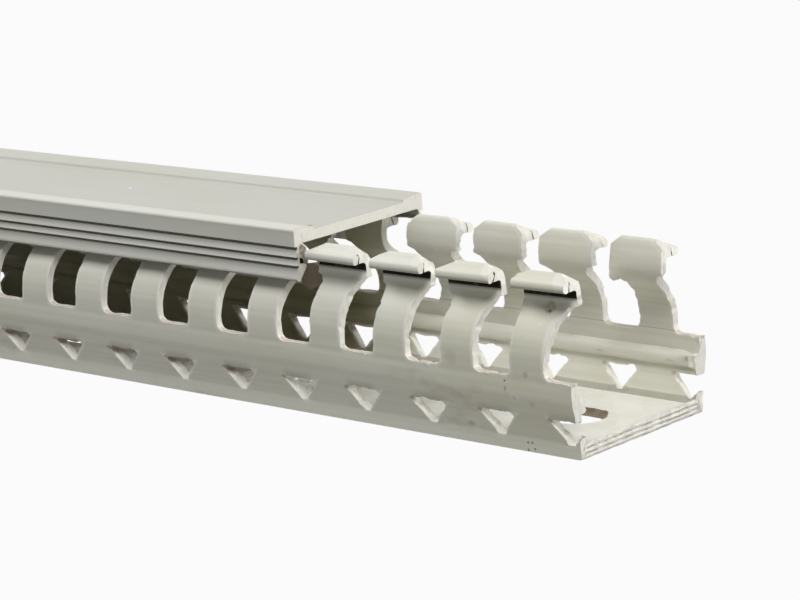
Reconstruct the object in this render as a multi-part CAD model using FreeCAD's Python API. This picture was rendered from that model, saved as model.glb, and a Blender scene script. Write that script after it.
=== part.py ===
"""Slotted wire duct: a punched U profile with hooked fingers, and its clip-on cover.

Units are millimetres. +X runs along the duct towards the sawn end that stands open, Y across it and
+Z up. The origin is in the middle of the underside of the duct's floor.
"""
import FreeCAD, Part
import math
import os

from FreeCAD import Vector

# Duct as sold
LENGTH = 500.0            # sawn length of the duct
FOOT_WIDTH = 26.5         # over the outer faces at the foot of the walls
WALL = 1.1                # wall and finger thickness
FLOOR = 1.3               # floor thickness

# Wall section, heights above the underside and offsets outwards from the foot
FOOT_HEIGHT = 1.9         # upright foot before the wall leans out
BULGE_HEIGHT = 8.0        # height where the lean ends
BULGE = 1.3               # how far the wall stands out beyond its foot
CURVE_START = 12.2        # height where the fingers start to curve inwards
CURVE_ANGLE = 58.0        # steepest lean of a finger, degrees
CURVE_RADIUS = 7.4        # centre-line radius of the finger's outward curve
HEAD_INSET = 4.8          # from the bulge's centre line to the stem's centre line
BEAD_HEIGHT = 7.3         # centre of the long bead inside each wall
BEAD_HALF = 1.0           # half of the bead's height at its root
BEAD_DEPTH = 1.0          # how far the bead stands into the channel

# Hooked head
HEAD_TOP = 24.6           # top of the heads
HEAD_LEAN = 0.4           # how far the head's inner face leans out up to its shoulder
SHOULDER = 23.5           # height of that shoulder
RIDGE_INSET = 1.1         # from the stem's inner face to the ridge along the head's top
LIP_TOP = 23.35           # where the sloped top face meets the lip
LIP_BOTTOM = 22.1         # underside of the lip
LIP_ROUND = 0.45          # rounding of the lip
HOOK_CLEARANCE = 0.2      # running clearance between lip and cover
UNDERCUT_RISE = 0.6       # how far the hook's underside drops again at the stem

# Punched pattern, one of each per pitch
PITCH = 12.5
END_OFFSET = 1.4          # from the sawn end to the centre of the slot that it cuts through
SLOT_WIDTH = 6.5
SLOT_BOTTOM = 10.7
SLOT_CORNER = 1.1
NECK_TOP = 18.2           # height where the slot starts to narrow
HEAD_UNDERSIDE = 19.9     # height where the slot is narrow
HEAD_GAP = 3.1            # slot width between two heads
HEAD_CHAMFER_START = 23.3
HEAD_CHAMFER = 1.8        # taken off each upper corner of a head
TRIANGLE_WIDTH = 6.0
TRIANGLE_TOP = 5.35
TRIANGLE_BOTTOM = 1.95
TRIANGLE_CORNER = 0.5

# Mounting slots in the floor
MOUNT_SLOT_WIDTH = 8.0
MOUNT_SLOT_LENGTH = 14.0
MOUNT_SLOT_SPACING = 50.0
MOUNT_SLOT_FIRST = 14.3   # from the sawn end to the centre of the first one

# Cover
COVER_LENGTH = 500.0
COVER_SETBACK = 50.5      # how far the cover is slid back from the open end
COVER_OVERHANG = 0.3      # cover's side beyond the foot of the wall
COVER_SIDE = 0.8          # thickness of the cover's sides
COVER_TOP = 1.5           # thickness of the panel
COVER_SEAT_GAP = 0.2      # running clearance over the heads
COVER_DROP = 7.6          # from the cover's upper edge to the lower edge of its sides
STRIP_WIDTH = 4.0         # sloped strip along each upper edge
STRIP_RISE = 0.85         # how far the strip rises to the cover's edge
STRIP_STEP = 0.3          # little step between panel and strip
HOOK_GAP = 0.25           # running clearance between the cover's catch and the lip
CATCH_DEPTH = 1.35        # how far the catch stands in under the lip
CATCH_HEIGHT = 0.7
GROOVE_DEPTH = 0.4
GROOVE_WIDTH = 0.5
GROOVE_DROPS = (2.8, 4.2, 5.4)   # from the cover's upper edge to each groove in its side


def arc_points(centre, radius, start, end, steps):
    """Points on an arc in the section plane, from one angle to another in degrees."""
    points = []
    for step in range(1, steps + 1):
        angle = math.radians(start + (end - start) * step / steps)
        points.append((centre[0] + radius * math.cos(angle), centre[1] + radius * math.sin(angle)))
    return points


def finger_curve(side):
    """S-curve of a finger as (offset, height) points, on its outer (+1) or inner (-1) face."""
    half = WALL / 2 * side
    angle = CURVE_ANGLE
    upper_radius = HEAD_INSET / (1 - math.cos(math.radians(angle))) - CURVE_RADIUS
    first_centre = (BULGE - WALL / 2 - CURVE_RADIUS, CURVE_START)
    rise = (CURVE_RADIUS + upper_radius) * math.sin(math.radians(angle))
    stem = BULGE - WALL / 2 - HEAD_INSET
    second_centre = (stem + upper_radius, CURVE_START + rise)
    points = [(BULGE - WALL / 2 + half, CURVE_START)]
    points += arc_points(first_centre, CURVE_RADIUS + half, 0, angle, 3)
    points += arc_points(second_centre, upper_radius - half, 180 + angle, 180, 2)
    return points


def head_outline():
    """Hooked head from the outer foot of the stem, round the lip, to the inner foot."""
    stem_outer = BULGE - HEAD_INSET
    stem_inner = stem_outer - WALL
    lip = COVER_OVERHANG - COVER_SIDE - HOOK_CLEARANCE
    return [
        (stem_outer, LIP_BOTTOM - UNDERCUT_RISE),
        (stem_outer + LIP_ROUND, LIP_BOTTOM),
        (lip - LIP_ROUND, LIP_BOTTOM),
        (lip, LIP_BOTTOM + LIP_ROUND),
        (lip, LIP_TOP - LIP_ROUND / 2),
        (lip - LIP_ROUND / 2, LIP_TOP),
        (stem_inner + RIDGE_INSET, HEAD_TOP),
        (stem_inner + HEAD_LEAN, SHOULDER),
    ]


def wall_outline():
    """Wall, finger and head from the outer lower edge up and back down to the floor's upper face."""
    inner_lean = BULGE - WALL
    bead_face = -WALL + BULGE * (BEAD_HEIGHT - FOOT_HEIGHT) / (BULGE_HEIGHT - FOOT_HEIGHT)
    lower = BEAD_HEIGHT - BEAD_HALF
    lower_face = -WALL + BULGE * (lower - FOOT_HEIGHT) / (BULGE_HEIGHT - FOOT_HEIGHT)
    points = [(0, 0), (0, FOOT_HEIGHT), (BULGE, BULGE_HEIGHT)]
    points += finger_curve(1)
    points += head_outline()
    points += reversed(finger_curve(-1))
    points += [
        (inner_lean, BEAD_HEIGHT + BEAD_HALF),
        (bead_face - BEAD_DEPTH, BEAD_HEIGHT + BEAD_HALF / 3),
        (bead_face - BEAD_DEPTH, BEAD_HEIGHT - BEAD_HALF / 3),
        (lower_face, lower),
        (-WALL, FOOT_HEIGHT),
        (-WALL, FLOOR),
    ]
    return points


def section_face(half_outline, start_x):
    """Planar face at start_x from the (offset, height) outline of the -Y half, mirrored to +Y."""
    left = [Vector(start_x, -FOOT_WIDTH / 2 - offset, height) for offset, height in half_outline]
    right = [Vector(start_x, FOOT_WIDTH / 2 + offset, height) for offset, height in reversed(half_outline)]
    loop = left + right
    return Part.Face(Part.makePolygon(loop + [loop[0]]))


def slot_tool(centre_x):
    """Slot between two fingers: round lower corners, wide at the necks, narrow at the heads."""
    half = SLOT_WIDTH / 2
    narrow = HEAD_GAP / 2
    above = HEAD_TOP + 1
    top_half = narrow + HEAD_CHAMFER * (above - HEAD_CHAMFER_START) / (HEAD_TOP - HEAD_CHAMFER_START)
    corner = (half - SLOT_CORNER, SLOT_BOTTOM + SLOT_CORNER)
    side = [(corner[0], SLOT_BOTTOM)]
    side += arc_points(corner, SLOT_CORNER, -90, 0, 2)
    side += [(half, NECK_TOP), (narrow, HEAD_UNDERSIDE), (narrow, HEAD_CHAMFER_START), (top_half, above)]
    return prism_across(side + [(-x, z) for x, z in reversed(side)], centre_x)


def triangle_tool(centre_x):
    """Knock-out hole: a triangle on its tip with its corners taken off."""
    half = TRIANGLE_WIDTH / 2
    slope = half / (TRIANGLE_TOP - TRIANGLE_BOTTOM)
    side = [
        (TRIANGLE_CORNER * slope, TRIANGLE_BOTTOM),
        (half, TRIANGLE_TOP - TRIANGLE_CORNER),
        (half - TRIANGLE_CORNER, TRIANGLE_TOP),
    ]
    return prism_across(side + [(-x, z) for x, z in reversed(side)], centre_x)


def prism_across(outline, centre_x):
    """Prism right across the duct from an (x, z) outline about centre_x."""
    reach = FOOT_WIDTH / 2 + BULGE + 5
    loop = [Vector(centre_x + x, -reach, z) for x, z in outline]
    return Part.Face(Part.makePolygon(loop + [loop[0]])).extrude(Vector(0, 2 * reach, 0))


def mount_slot_tool(centre_x):
    """Oblong mounting slot through the floor, long side along the duct."""
    radius = MOUNT_SLOT_WIDTH / 2
    straight = (MOUNT_SLOT_LENGTH - MOUNT_SLOT_WIDTH) / 2
    edges = []
    for side in (-1, 1):
        end_x = centre_x + side * straight
        start = Vector(end_x, -side * radius, -1)
        stop = Vector(end_x, side * radius, -1)
        tip = Vector(end_x + side * radius, 0, -1)
        edges.append(Part.Arc(start, tip, stop).toShape())
        edges.append(Part.makeLine(stop, Vector(centre_x - side * straight, side * radius, -1)))
    return Part.Face(Part.Wire(edges)).extrude(Vector(0, 0, FLOOR + 2))


def duct_base():
    """The U profile with its slots, triangles and mounting slots punched out."""
    body = section_face(wall_outline(), -LENGTH / 2).extrude(Vector(LENGTH, 0, 0))
    tools = []
    count = int(LENGTH / PITCH) + 1
    for index in range(count):
        centre_x = LENGTH / 2 - END_OFFSET - index * PITCH
        tools.append(slot_tool(centre_x))
        tools.append(triangle_tool(centre_x))
    first = LENGTH / 2 - MOUNT_SLOT_FIRST
    while first > -LENGTH / 2 + MOUNT_SLOT_LENGTH:
        tools.append(mount_slot_tool(first))
        first -= MOUNT_SLOT_SPACING
    return body.cut(tools)


def cover_half():
    """Half section of the cover, from the middle of its underside round to the middle of its top."""
    outer = COVER_OVERHANG
    inner = outer - COVER_SIDE
    under = HEAD_TOP + COVER_SEAT_GAP
    panel = under + COVER_TOP
    edge = panel + STRIP_RISE
    lower = edge - COVER_DROP
    catch_top = LIP_BOTTOM - HOOK_GAP
    points = [
        (-FOOT_WIDTH / 2, under),
        (inner - 0.6, under),
        (inner, under - 0.6),
        (inner, catch_top),
        (inner - CATCH_DEPTH, catch_top - 0.25),
        (inner - CATCH_DEPTH, catch_top - CATCH_HEIGHT),
        (inner, lower + 0.3),
        (inner + 0.2, lower),
        (outer - 0.2, lower),
        (outer, lower + 0.2),
    ]
    for drop in reversed(GROOVE_DROPS):
        height = edge - drop
        points += [
            (outer, height - GROOVE_WIDTH / 2),
            (outer - GROOVE_DEPTH, height - GROOVE_WIDTH / 4),
            (outer - GROOVE_DEPTH, height + GROOVE_WIDTH / 4),
            (outer, height + GROOVE_WIDTH / 2),
        ]
    points += [
        (outer, edge - 0.4),
        (outer - 0.4, edge),
        (outer - STRIP_WIDTH, panel + STRIP_STEP),
        (outer - STRIP_WIDTH - 0.2, panel),
        (-FOOT_WIDTH / 2, panel),
    ]
    return points


def cover():
    """The clip-on cover, slid back from the open end."""
    start = LENGTH / 2 - COVER_SETBACK - COVER_LENGTH
    half = cover_half()
    left = [Vector(start, -FOOT_WIDTH / 2 - offset, height) for offset, height in half]
    right = [Vector(start, FOOT_WIDTH / 2 + offset, height) for offset, height in reversed(half[1:-1])]
    loop = left + right
    return Part.Face(Part.makePolygon(loop + [loop[0]])).extrude(Vector(COVER_LENGTH, 0, 0))


PARTS = {
    "duct_base": duct_base,
    "cover": cover,
}


def main():
    os.makedirs("parts", exist_ok=True)
    for name, build in PARTS.items():
        shape = build()
        if shape.ShapeType == "Compound" and len(shape.Solids) == 1:
            shape = shape.Solids[0]
        shape.exportStep(f"parts/{name}.step")
        print(name, shape.ShapeType, "solids", len(shape.Solids), "valid", shape.isValid(),
              "volume", round(shape.Volume, 1))


main()
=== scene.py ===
"""Looks of a slotted wire duct and its clip-on cover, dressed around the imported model.

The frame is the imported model's: metres, +X towards the sawn end that stands open, Y across, +Z up.
The classes hold their sizes in millimetres, and each piece is scaled as it is finished.
"""
import logging
import math
import random
from dataclasses import dataclass, field
from enum import Enum

import bmesh
import bpy
from bmesh.types import BMEdge, BMesh, BMFace, BMVert
from bpy.types import Material, Node, NodeSocket, NodeTree, Object
from mathutils import Euler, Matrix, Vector, noise


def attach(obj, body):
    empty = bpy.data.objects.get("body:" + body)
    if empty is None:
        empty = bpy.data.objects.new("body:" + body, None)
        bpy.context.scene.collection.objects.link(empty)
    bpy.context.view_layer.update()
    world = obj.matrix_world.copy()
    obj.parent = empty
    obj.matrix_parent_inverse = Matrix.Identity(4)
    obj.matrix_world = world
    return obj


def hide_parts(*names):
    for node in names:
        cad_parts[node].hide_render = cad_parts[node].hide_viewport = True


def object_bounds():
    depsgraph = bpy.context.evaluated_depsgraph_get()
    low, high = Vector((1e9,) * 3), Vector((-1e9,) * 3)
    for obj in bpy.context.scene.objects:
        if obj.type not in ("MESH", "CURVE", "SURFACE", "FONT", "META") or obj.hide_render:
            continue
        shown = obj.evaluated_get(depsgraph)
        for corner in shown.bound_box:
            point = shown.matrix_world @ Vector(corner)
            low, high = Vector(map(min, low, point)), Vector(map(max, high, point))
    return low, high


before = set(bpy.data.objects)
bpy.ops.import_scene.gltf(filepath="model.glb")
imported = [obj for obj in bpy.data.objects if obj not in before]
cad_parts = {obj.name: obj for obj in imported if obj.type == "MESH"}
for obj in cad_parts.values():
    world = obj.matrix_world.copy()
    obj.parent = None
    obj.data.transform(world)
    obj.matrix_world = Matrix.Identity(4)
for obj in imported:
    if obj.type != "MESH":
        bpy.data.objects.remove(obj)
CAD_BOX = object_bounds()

LOG = logging.getLogger("wire_duct")
MM = 0.001
PER_METRE = 1000.0
SHARP_EDGE = math.radians(42.0)

Point = tuple[float, float]
Triple = tuple[float, float, float]


class Body(Enum):
    """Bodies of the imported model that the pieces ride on."""

    DUCT = "duct"
    COVER = "cover"


class Grain(Enum):
    """Which surface of the plastic a material stands for."""

    EXTRUDED = 0
    CUT = 1
    # Grime with painted shade, in the groove under each head.
    GROOVE = 2


def smoothstep(low: float, high: float, value: float) -> float:
    """Soft step from 0 where the value is low to 1 where it is high."""
    share = min(max((value - low) / (high - low), 0.0), 1.0)
    return share * share * (3.0 - 2.0 * share)


def steps_between(start: float, stop: float, count: int) -> list[float]:
    """Evenly spaced values from start to stop, both included."""
    return [start + (stop - start) * step / count for step in range(count + 1)]


def everything(mesh: BMesh) -> list:
    """All the vertices, edges and faces of a mesh."""
    return mesh.verts[:] + mesh.edges[:] + mesh.faces[:]


def only_verts(elements: list) -> list[BMVert]:
    """Vertices among mixed elements of a mesh."""
    return [item for item in elements if isinstance(item, BMVert)]


def divide(mesh: BMesh, place: Triple, away: Triple, slack: float, drop: bool = False) -> None:
    """Divides a mesh along a plane, and drops what lies beyond it where that is asked for."""
    bmesh.ops.bisect_plane(mesh, geom=everything(mesh), dist=slack, plane_co=place, plane_no=away,
                           clear_outer=drop)


def copy_along(mesh: BMesh, elements: list, move: float) -> None:
    """Adds a copy of some elements of a mesh, moved along the duct."""
    copy = bmesh.ops.duplicate(mesh, geom=elements)["geom"]
    bmesh.ops.translate(mesh, vec=(move, 0.0, 0.0), verts=only_verts(copy))


def push_along(mesh: BMesh, edges: list[BMEdge], places: list[float]) -> list[BMEdge]:
    """Repeats a section at places along the duct and joins each one to the next.

    Args:
        mesh: mesh that holds the section.
        edges: the section's edges, at the first place.
        places: places along the duct, in order.

    Returns:
        The section's edges at the last place.
    """
    for place, following in zip(places, places[1:]):
        made = bmesh.ops.extrude_edge_only(mesh, edges=edges)["geom"]
        edges = [item for item in made if isinstance(item, BMEdge)]
        bmesh.ops.translate(mesh, vec=(following - place, 0.0, 0.0), verts=only_verts(made))
    return edges


def to_data(mesh: BMesh, name: str) -> bpy.types.Mesh:
    """Hands a mesh over to new mesh data and frees it.

    Args:
        mesh: the finished mesh.
        name: name of the data.

    Returns:
        The mesh data.
    """
    data = bpy.data.meshes.new(name)
    mesh.to_mesh(data)
    mesh.free()
    return data


def link_new(name: str, data: bpy.types.ID) -> Object:
    """Adds an object to the scene.

    Args:
        name: name of the object.
        data: its mesh, lamp or camera.

    Returns:
        The object.
    """
    made = bpy.data.objects.new(name, data)
    bpy.context.scene.collection.objects.link(made)
    return made


def finish_piece(mesh: BMesh, name: str, body: Body, node: str,
                 materials: list[Material]) -> Object:
    """Turns a mesh in millimetres into a piece in the frame's metres.

    Args:
        mesh: the finished mesh.
        name: name of the piece.
        body: body that it rides on.
        node: CAD node that it stands for.
        materials: its materials, in the order of Grain.

    Returns:
        The piece.
    """
    bmesh.ops.scale(mesh, vec=(MM, MM, MM), verts=mesh.verts[:])
    for part in mesh.faces:
        part.smooth = True
    data = to_data(mesh, name)
    data.set_sharp_from_angle(angle=SHARP_EDGE)
    for material in materials:
        data.materials.append(material)
    piece = link_new(name, data)
    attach(piece, body.value)
    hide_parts(node)
    data.calc_loop_triangles()
    LOG.info("%s: %d triangles", name, len(data.loop_triangles))
    return piece


@dataclass(frozen=True)
class WallSection:
    """Cross-section of a wall, its finger and its hooked head.

    Offsets are outwards from the foot of the wall and heights are above the underside.
    """

    foot_half: float = 13.25
    thickness: float = 1.1
    floor: float = 1.3
    foot_height: float = 1.9
    foot_bend: float = 1.2
    bulge: float = 1.3
    bulge_height: float = 8.0
    curve_start: float = 12.2
    curve_angle: float = 58.0
    curve_radius: float = 7.4
    head_inset: float = 4.8
    bead_height: float = 7.3
    bead_depth: float = 1.0
    bead_half: float = 1.1
    head_root: float = 21.45
    softness: float = 0.45
    crease: Triple = (10.3, 0.22, -0.07)
    score: Triple = (5.75, 0.2, 0.05)

    def upper_radius(self) -> float:
        """Centre-line radius of the curve that brings the finger upright again."""
        return self.head_inset / (1 - math.cos(math.radians(self.curve_angle))) - self.curve_radius

    def raw_face(self, height: float, side: int) -> float:
        """Offset of a wall face with hard corners.

        Args:
            height: height above the underside.
            side: 1 for the outer face, -1 for the inner one.

        Returns:
            Offset outwards from the foot.
        """
        half = self.thickness / 2
        middle = self.bulge - half
        if height <= self.foot_height:
            return side * half - half
        if height <= self.bulge_height:
            rise = (height - self.foot_height) / (self.bulge_height - self.foot_height)
            return self.bulge * rise + side * half - half
        if height <= self.curve_start:
            return middle + side * half
        angle = math.radians(self.curve_angle)
        lower = self.curve_radius + side * half
        upper = self.upper_radius() - side * half
        if height <= self.curve_start + lower * math.sin(angle):
            rise = height - self.curve_start
            return middle - self.curve_radius + math.sqrt(lower * lower - rise * rise)
        radii = self.curve_radius + self.upper_radius()
        centre = middle - self.head_inset + self.upper_radius()
        drop = min(height - (self.curve_start + radii * math.sin(angle)), 0.0)
        return centre - math.sqrt(upper * upper - drop * drop)

    def face(self, height: float, side: int) -> float:
        """Offset of a wall face with soft corners, its die lines and the inner bead.

        Args:
            height: height above the underside.
            side: 1 for the outer face, -1 for the inner one.

        Returns:
            Offset outwards from the foot.
        """
        weights = {-1.0: 1, -0.5: 2, 0.0: 2, 0.5: 2, 1.0: 1}
        offset = sum(weight * self.raw_face(height + self.softness * share, side)
                     for share, weight in weights.items()) / 8
        if side > 0:
            return offset + sum(depth * math.exp(-((height - middle) / half) ** 2)
                                for middle, half, depth in (self.crease, self.score))
        away = min(abs(height - self.bead_height) / self.bead_half, 1.0)
        return offset - self.bead_depth * math.sqrt(1.0 - away * away) ** 0.8

    def place(self, run: float, depth: float) -> Vector:
        """Place of a point of the flat sheet in the bent section.

        Args:
            run: distance along the sheet from the floor's middle, negative for the near wall.
            depth: 0 on the outer skin and 1 on the inner one.

        Returns:
            Vector with the place across the duct as x and the height as y.
        """
        side = -1.0 if run < 0 else 1.0
        reach = abs(run)
        if reach <= self.foot_half:
            inner_half = self.foot_half - self.thickness
            bend = inner_half - self.foot_bend
            inner = reach
            if reach > bend:
                inner = bend + (reach - bend) * (inner_half - bend) / (self.foot_half - bend)
            return Vector((side * (reach + (inner - reach) * depth), self.floor * depth))
        height = reach - self.foot_half
        inner_height = height
        if height < self.foot_height:
            rise = self.foot_height - self.floor
            inner_height = self.floor + height * rise / self.foot_height
        outer = self.foot_half + self.face(height, 1)
        inner = self.foot_half + self.face(inner_height, -1)
        return Vector((side * (outer + (inner - outer) * depth),
                       height + (inner_height - height) * depth))

    def head_chain(self) -> list[Point]:
        """Outline of the head, from its outer foot round the crack and the lip to its inner foot.

        Returns:
            Corners as offset and height.
        """
        outer = self.bulge - self.head_inset
        return [
            (outer, self.head_root), (-3.42, 21.78), (-3.15, 22.02), (-2.78, 22.13),
            (-1.95, 22.13), (-2.1, 22.9), (-2.24, 23.5), (-2.1, 23.46), (-1.95, 22.9),
            (-1.68, 22.12), (-1.3, 22.08), (-1.05, 22.1), (-0.86, 22.2), (-0.72, 22.45),
            (-0.7, 22.8), (-0.74, 23.08),
            (-0.88, 23.26), (-1.15, 23.42), (-2.3, 23.99), (-3.2, 24.45), (-3.42, 24.57),
            (-3.58, 24.6), (-3.75, 24.5), (-4.02, 24.05), (-4.2, 23.5), (-4.4, 22.8), (-4.54, 22.2),
            (outer - self.thickness, self.head_root),
        ]


@dataclass(frozen=True)
class PunchPattern:
    """The punched openings, one slot and one triangle for each pitch in each wall."""

    pitch: float = 12.5
    end_offset: float = 1.4
    slot_half: float = 3.25
    slot_bottom: float = 10.7
    slot_corner: float = 1.1
    neck_top: float = 18.2
    head_underside: float = 19.9
    gap_half: float = 1.55
    finger_line: float = 4.75
    chamfer_start: float = 23.3
    chamfer: float = 1.8
    head_top: float = 24.6
    triangle_half: float = 3.0
    triangle_top: float = 5.35
    triangle_bottom: float = 1.95
    triangle_corner: float = 0.5
    mount_spacing: float = 50.0
    mount_place: float = 24.6
    mount_half: float = 4.0
    mount_length: float = 14.0

    def columns(self) -> list[float]:
        """Places of the sheet's lines across one pitch, with a slot's middle at 0.

        Returns:
            The places, in order.
        """
        half = [self.gap_half, self.slot_half - self.slot_corner, self.slot_half, self.finger_line,
                self.pitch / 2]
        return [-x for x in reversed(half)] + [0.0] + half

    def slot_outline(self) -> list[Point]:
        """Wide part of a slot between two necks, with round lower corners.

        Returns:
            Corners in order, as distance from the slot's middle and height.
        """
        corner = self.slot_corner
        side = []
        for step in range(4):
            angle = math.radians(-90 + 30 * step)
            side.append((self.slot_half - corner + corner * math.cos(angle),
                         self.slot_bottom + corner + corner * math.sin(angle)))
        for back, rise in ((0.0, -0.3), (0.2, 0.6), (0.75, 1.3)):
            side.append((self.slot_half - back, self.neck_top + rise))
        side.append((self.gap_half, self.head_underside))
        return side + [(-x, z) for x, z in reversed(side)]

    def gap_outline(self, top: float) -> list[Point]:
        """Narrow part of a slot between two heads, up to the given height."""
        return [(self.gap_half, self.head_underside), (self.gap_half, top),
                (-self.gap_half, top), (-self.gap_half, self.head_underside)]

    def triangle_outline(self) -> list[Point]:
        """Triangle on its tip with its corners taken off.

        Returns:
            Corners in order, as distance from the triangle's middle and height.
        """
        slope = self.triangle_half / (self.triangle_top - self.triangle_bottom)
        side = [(self.triangle_corner * slope, self.triangle_bottom),
                (self.triangle_half, self.triangle_top - self.triangle_corner),
                (self.triangle_half - self.triangle_corner, self.triangle_top)]
        return side + [(-x, z) for x, z in reversed(side)]

    def mount_outline(self) -> list[Point]:
        """Oblong mounting slot at its place in the sheet.

        Returns:
            Corners in order, in the flat sheet.
        """
        straight = self.mount_length / 2 - self.mount_half
        points = []
        for side, start in ((1, -90), (-1, 90)):
            for step in range(9):
                angle = math.radians(start + 22.5 * step)
                along = side * straight + self.mount_half * math.cos(angle)
                points.append((self.mount_place + along, self.mount_half * math.sin(angle)))
        return points

    def head_half(self, height: float) -> float:
        """Half width of a head at a height above the underside."""
        rise = max(height - self.chamfer_start, 0.0) / (self.head_top - self.chamfer_start)
        return self.pitch / 2 - self.gap_half - self.chamfer * rise


class Sheet:
    """Flat sheet of plastic that is punched before it is bent to its section."""

    def __init__(self, columns: list[float], rows: list[float]) -> None:
        """Lays out the sheet.

        Args:
            columns: places of its lines along the duct.
            rows: places of its lines across.
        """
        self.mesh = bmesh.new()
        last = (len(columns) - 1, len(rows) - 1)
        bmesh.ops.create_grid(self.mesh, x_segments=last[0], y_segments=last[1], size=1.0)
        for vert in self.mesh.verts:
            column, row = (round((vert.co[axis] + 1) / 2 * last[axis]) for axis in (0, 1))
            vert.co = (columns[column], rows[row], 0.0)

    def punch(self, outline: list[Point]) -> None:
        """Cuts a convex outline out of the sheet.

        Args:
            outline: corners of the opening in order, counter-clockwise.
        """
        low = tuple(min(point[axis] for point in outline) for axis in (0, 1))
        high = tuple(max(point[axis] for point in outline) for axis in (0, 1))
        edges = []
        for (x0, y0), (x1, y1) in zip(outline, outline[1:] + outline[:1]):
            edges.append((Vector((x0, y0, 0.0)), Vector((y1 - y0, x0 - x1, 0.0)).normalized()))
        for corner, outward in edges:
            faces = [f for f in self.mesh.faces if self.overlaps(f, low, high)]
            around = {e for f in faces for e in f.edges} | {v for f in faces for v in f.verts}
            bmesh.ops.bisect_plane(self.mesh, geom=faces + list(around), dist=0.004,
                                   plane_co=corner, plane_no=outward)
        waste = []
        for part in self.mesh.faces:
            middle = part.calc_center_median()
            if all((middle - corner).dot(outward) < 0 for corner, outward in edges):
                waste.append(part)
        bmesh.ops.delete(self.mesh, geom=waste, context="FACES")

    @staticmethod
    def overlaps(part: BMFace, low: Point, high: Point, slack: float = 0.001) -> bool:
        """Whether a face of the sheet reaches into a rectangle."""
        return all(max(v.co[axis] for v in part.verts) > low[axis] + slack
                   and min(v.co[axis] for v in part.verts) < high[axis] - slack for axis in (0, 1))

    def repeat(self, count: int, step: float) -> None:
        """Adds copies of the sheet beside itself and welds them together.

        Args:
            count: number of lengths that there are in the end.
            step: distance from one to the next along the duct.
        """
        whole = everything(self.mesh)
        for index in range(1, count):
            copy_along(self.mesh, whole, step * index)
        bmesh.ops.remove_doubles(self.mesh, verts=self.mesh.verts[:], dist=0.01)


@dataclass(frozen=True)
class FingerBend:
    """How one free finger stands differently from a straight one, in millimetres at its head."""

    out: float
    shift: float = 0.0
    rise: float = 0.0
    wing: float = 0.0
    widen: float = 0.0
    drop: float = 0.0


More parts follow.
